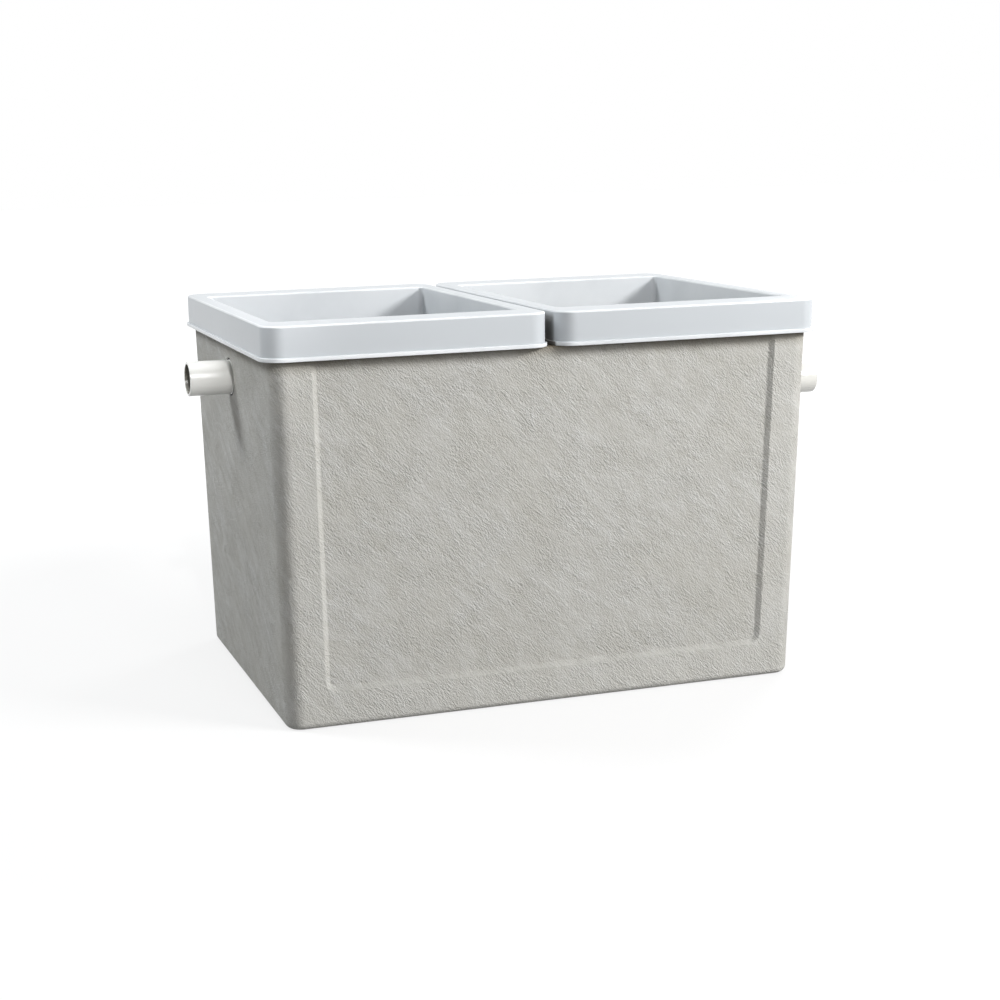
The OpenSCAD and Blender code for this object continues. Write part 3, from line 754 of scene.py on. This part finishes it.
class GREASETRAP_OT_collars(bpy.types.Operator):
    """Models the two open collars with their lip, rim, web and neck"""
    bl_idname = "greasetrap.collars"
    bl_label = "Collars"

    def stations(self, collar, x):
        """Outlines round the collar's section, from the foot of the skirt outwards."""
        outside = COLLAR_HIGH.x - COLLAR_LOW.x - 2 * collar.lip
        across = COLLAR_HIGH.y - COLLAR_LOW.y - 2 * collar.lip
        foot = COLLAR_HIGH.z - collar.height
        neck = COLLAR_LOW.z
        under = COLLAR_HIGH.z - collar.wall
        nose = collar.lip_round
        edge = foot - collar.lip_drop
        round_off = collar.edge_radius
        crown = COLLAR_HIGH.z - round_off
        web = collar.web_inset
        chamfer = collar.wall / 5
        lip_steps, rim_steps = 3, 5

        def outer(offset, z):
            return Outline(x, outside + 2 * offset, across + 2 * offset, collar.corner_radius + offset, z)

        def inner(offset, z):
            return Outline(x, outside - 2 * (collar.side_rim - offset),
                           across - 2 * (collar.front_rim - offset), collar.opening_radius + offset, z)

        rows = [outer(-collar.wall, foot + SKEW)]
        rows += [outer(*point) for point in arc((collar.lip - nose, edge + nose), nose, -90, 0, lip_steps)]
        top = foot + collar.lip_thickness
        rows += [outer(*point) for point in arc((collar.lip - nose, top - nose), nose, 0, 90, lip_steps)]
        rows += [outer(chamfer / 2, top + SKEW), outer(0.0, top + chamfer / 2)]
        rows += [outer(*point) for point in arc((-round_off, crown), round_off, 0, 90, rim_steps)]
        rows += [inner(*point) for point in arc((round_off, crown - SKEW), round_off, 90, 180, rim_steps)]
        rows += [inner(0.0, neck + chamfer), inner(chamfer, neck),
                 inner(collar.wall - chamfer, neck + SKEW), inner(collar.wall, neck + chamfer)]
        rows += [inner(collar.wall, under), outer(-web - collar.wall, under - SKEW)]
        rows += [outer(-web - collar.wall, foot), outer(-web, foot + SKEW)]
        rows += [outer(-web, under - SKEW), outer(-collar.wall, under)]

        def rubbed(row):
            """How far a row is painted paler: the rims and the lip in full as painted highlight, the
            opening's walls in part as painted light.
            """
            on_rim = crown + round_off / 4 < row.z < COLLAR_HIGH.z - SKEW * 2
            on_lip = row.length > outside + collar.lip and edge + nose / 3 < row.z < top
            if on_rim or on_lip:
                return 1.0
            in_mouth = row.length < outside - 2 * collar.side_rim + SKEW
            return collar.mouth_light if in_mouth else 0.0

        return rows, [rubbed(row) for row in rows]

    def execute(self, context):
        collar = context.scene.greasetrap_collar
        for name in ("inlet_collar", "outlet_collar"):
            low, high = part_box(name)
            rows, rubbed = self.stations(collar, (low[0] + high[0]) / 2)
            piece = loft(name + "_frame", draw_outline, rows, closed=True, mark="rubbed", amounts=rubbed)
            smooth(piece)
            dress(piece, finish("satin_collar"), "trap", "collar_plastic", name)
        return {"FINISHED"}


class GREASETRAP_OT_pipes(bpy.types.Operator):
    """Models the inlet and outlet pipes with rounded rims"""
    bl_idname = "greasetrap.pipes"
    bl_label = "Pipes"

    def execute(self, context):
        pipe = context.scene.greasetrap_pipe
        rim_steps = 4
        stubs = (("inlet_pipe", INLET_LOW, INLET_HIGH, -1, pipe.inlet_stub, 0.0),
                 ("outlet_pipe", OUTLET_LOW, OUTLET_HIGH, 1, pipe.outlet_stub, pipe.outlet_shade))
        for name, low, high, side, stub, outside_shade in stubs:
            radius = (high.z - low.z) / 2
            bore = radius - pipe.wall
            axis = (high.z + low.z) / 2
            tip, root = (high.x, low.x) if side > 0 else (-low.x, -high.x)
            turn = pipe.rim_round

            def draw(station, side=side, axis=axis):
                bpy.ops.mesh.primitive_circle_add(vertices=PIPE_STEPS, radius=station[0],
                                                  location=(side * station[1], 0, axis),
                                                  rotation=(0, math.pi / 2, 0))

            eased = radius - pipe.ease
            necked = radius - pipe.groove
            groove = tip - stub - pipe.groove_width
            rows = [(bore, root), (eased, root + SKEW), (eased, groove), (necked, groove + SKEW),
                    (necked, tip - stub - SKEW), (radius, tip - stub)]
            rows += arc((radius - turn, tip - turn), turn, 0, 90, rim_steps)
            rows += arc((bore + turn, tip - turn - SKEW), turn, 90, 180, rim_steps)
            # Painted shade: the bores darkened in full, the outlet's outside in part
            stained = [1.0 if row[0] < bore + turn / 2 else outside_shade for row in rows]
            piece = loft(name + "_stub", draw, rows, closed=True, mark="stained", amounts=stained)
            smooth(piece)
            dress(piece, finish("level_pipe"), "trap", "drain_pipe", name)
        return {"FINISHED"}


class GREASETRAP_OT_bail(bpy.types.Operator):
    """Models the basket's wire handle"""
    bl_idname = "greasetrap.bail"
    bl_label = "Bail handle"

    def execute(self, context):
        bail = context.scene.greasetrap_bail
        wire = bail.wire_radius
        pivot = BAIL_LOW.x + wire
        reach = BAIL_HIGH.x - wire - pivot
        height = (BAIL_LOW.z + BAIL_HIGH.z) / 2
        arm = BAIL_HIGH.y - bail.arm_gap
        piece = begin_piece("bail_wire")
        middle = (pivot + reach / 2, 0, height)
        bpy.ops.mesh.primitive_plane_add(size=1, location=middle)
        bpy.ops.transform.resize(value=(reach, 2 * arm, 1), center_override=middle)
        bpy.ops.mesh.delete(type="ONLY_FACE")
        mesh = bmesh.from_edit_mesh(piece.data)
        for edge in mesh.edges:
            edge.select_set(all(near(vert.co.x, pivot) for vert in edge.verts))
        bpy.ops.mesh.delete(type="EDGE")
        for side in (-1, 1):
            mesh = bmesh.from_edit_mesh(piece.data)
            for vert in mesh.verts:
                vert.select_set(near(vert.co.x, pivot) and near(vert.co.y, side * arm))
            bpy.ops.mesh.extrude_vertices_move(
                TRANSFORM_OT_translate={"value": (0, side * (BAIL_HIGH.y - arm), 0)})
        for place, radius in ((pivot, bail.elbow_radius), (pivot + reach, bail.grip_radius)):
            mesh = bmesh.from_edit_mesh(piece.data)
            for vert in mesh.verts:
                bend = len(vert.link_edges) == 2 and near(vert.co.x, place)
                vert.select_set(bend and near(abs(vert.co.y), arm))
            bpy.ops.mesh.bevel(offset=radius, segments=BEND_STEPS, affect="VERTICES")
        bpy.ops.object.mode_set(mode="OBJECT")
        make_active(piece)
        bpy.ops.object.convert(target="CURVE")
        piece = bpy.context.object
        piece.data.dimensions = "3D"
        piece.data.bevel_depth = wire
        piece.data.bevel_resolution = 6
        piece.data.use_fill_caps = True
        bpy.ops.object.convert(target="MESH")
        piece = bpy.context.object
        bpy.ops.object.mode_set(mode="EDIT")
        bpy.ops.mesh.select_all(action="SELECT")
        bpy.ops.mesh.remove_doubles(threshold=TOUCH)
        bpy.ops.mesh.normals_make_consistent(inside=False)
        bpy.ops.object.mode_set(mode="OBJECT")
        smooth(piece, angle=40.0)
        dress(piece, finish("drawn_wire"), "bail", "steel_wire", "basket_handle")
        return {"FINISHED"}


class GREASETRAP_OT_stage(bpy.types.Operator):
    """Sets up the floor, lights, world and camera"""
    bl_idname = "greasetrap.stage"
    bl_label = "Stage"

    def place_lamp(self, data, place, target, power, tone):
        data.energy = power
        data.color = tone
        lamp = bpy.data.objects.new(data.name, data)
        bpy.context.collection.objects.link(lamp)
        lamp.location = place
        lamp.rotation_euler = (Vector(target) - Vector(place)).to_track_quat("-Z", "Y").to_euler()

    def lamp(self, name, place, target, size, power, tone):
        data = bpy.data.lights.new(name, "AREA")
        data.shape = "RECTANGLE"
        data.size, data.size_y = size
        self.place_lamp(data, place, target, power, tone)

    def spot(self, name, place, target, angle, power, tone):
        data = bpy.data.lights.new(name, "SPOT")
        data.spot_size = math.radians(angle)
        data.spot_blend = 0.6
        data.shadow_soft_size = 0.12
        self.place_lamp(data, place, target, power, tone)

    def floor_material(self):
        """Grey floor that shows white, a little less so under the part."""
        grey, white = (0.18, 0.18, 0.18, 1.0), (1.0, 1.0, 1.0, 1.0)
        near_reach, far_reach, near_glow, far_glow = 1.0, 3.0, 0.74, 1.0
        material, tree, shader = new_material("studio_floor")
        adjust(material, {"Base Color": grey, "Roughness": 0.9, "Emission Color": white})
        place = tree.add("ShaderNodeTexCoord").outputs["Object"]
        away = tree.add("ShaderNodeVectorMath", {0: place}, operation="LENGTH").outputs["Value"]
        glow = tree.remap(away, near_reach, far_reach, near_glow, far_glow)
        tree.feed(shader.inputs["Emission Strength"], tree.math("MULTIPLY", seen_directly(tree), glow))
        return material

    def execute(self, context):
        stage = context.scene.greasetrap_stage
        floor_size = 40
        deselect()
        bpy.ops.mesh.primitive_plane_add(size=1)
        floor = context.object
        floor.name = "studio_floor"
        bpy.ops.transform.resize(value=(floor_size, floor_size, 1))
        bpy.ops.object.transform_apply(location=True, rotation=True, scale=True)
        floor.data.materials.append(self.floor_material())
        centre = (0, 0, 0.3)
        white, warm, cool, blue = (1.0, 1.0, 1.0), (1.0, 0.995, 0.985), (0.98, 0.99, 1.0), (0.95, 0.985, 1.0)
        lamps = (("key", (3.2, -2.6, 2.4), (1.8, 0.8), stage.key, warm),
                 ("front", (-0.1, -4.5, 2.2), (1.8, 1.8), stage.front, white),
                 ("side", (-3.3, 2.0, 3.85), (1.6, 1.6), stage.side, blue),
                 ("top", (-0.3, -0.2, 2.9), (1.8, 1.8), stage.top, cool),
                 ("back", (3.7, 3.3, 2.1), (1.8, 1.8), stage.back, cool))
        for name, place, size, power, tone in lamps:
            self.lamp(name, place, centre, size, power, tone)
        mouth = ((INLET_LOW.x + TANK_LOW.x) / 2, 0, (INLET_LOW.z + INLET_HIGH.z) / 2)
        self.spot("accent", (-0.75, -2.85, 2.1), mouth, angle=3.2, power=stage.accent, tone=white)
        world = bpy.data.worlds.new("studio")
        context.scene.world = world
        world.use_nodes = True
        tree = Tree(world.node_tree)
        background = world.node_tree.nodes["Background"]
        background.inputs["Color"].default_value = (*white, 1.0)
        strength = tree.remap(seen_directly(tree), 0.0, 1.0, stage.ambient, 1.0)
        tree.feed(background.inputs["Strength"], strength)
        data = bpy.data.cameras.new("photo_view")
        data.sensor_width = 36.0
        data.lens = stage.lens
        data.shift_x = stage.shift_x
        data.shift_y = stage.shift_y
        camera = bpy.data.objects.new("photo_view", data)
        context.collection.objects.link(camera)
        turn = (Matrix.Rotation(-stage.yaw, 4, "Z") @ Matrix.Rotation(math.pi / 2 - stage.pitch, 4, "X")
                @ Matrix.Rotation(stage.roll, 4, "Z"))
        camera.matrix_world = Matrix.Translation(stage.camera_place) @ turn
        context.scene.camera = camera
        context.scene.view_settings.view_transform = "Standard"
        return {"FINISHED"}


class GREASETRAP_PT_sidebar(bpy.types.Panel):
    """Lists the settings and the steps that build the grease trap"""
    bl_label = "Grease Trap"
    bl_idname = "GREASETRAP_PT_sidebar"
    bl_space_type = "VIEW_3D"
    bl_region_type = "UI"
    bl_category = "Grease Trap"

    def draw(self, context):
        for name, group in GROUPS.items():
            box = self.layout.box()
            box.label(text=group.__doc__)
            for setting in group.__annotations__:
                box.prop(getattr(context.scene, name), setting)
        for step in STEPS:
            self.layout.operator(step.bl_idname)


STEPS = (GREASETRAP_OT_finishes, GREASETRAP_OT_tank, GREASETRAP_OT_deck, GREASETRAP_OT_collars,
         GREASETRAP_OT_pipes, GREASETRAP_OT_bail, GREASETRAP_OT_stage)
GROUPS = {"greasetrap_tank": TankSettings, "greasetrap_collar": CollarSettings,
          "greasetrap_pipe": PipeSettings, "greasetrap_bail": BailSettings,
          "greasetrap_finish": FinishSettings, "greasetrap_stage": StageSettings}


def register():
    for name, group in GROUPS.items():
        bpy.utils.register_class(group)
        setattr(bpy.types.Scene, name, bpy.props.PointerProperty(type=group))
    for item in STEPS + (GREASETRAP_PT_sidebar,):
        bpy.utils.register_class(item)


def unregister():
    for item in reversed(STEPS + (GREASETRAP_PT_sidebar,)):
        bpy.utils.unregister_class(item)
    for name, group in GROUPS.items():
        delattr(bpy.types.Scene, name)
        bpy.utils.unregister_class(group)


def main():
    register()
    bpy.ops.greasetrap.finishes()
    bpy.ops.greasetrap.tank()
    bpy.ops.greasetrap.deck()
    bpy.ops.greasetrap.collars()
    bpy.ops.greasetrap.pipes()
    bpy.ops.greasetrap.bail()
    bpy.ops.greasetrap.stage()


if __name__ == "__main__":
    main()
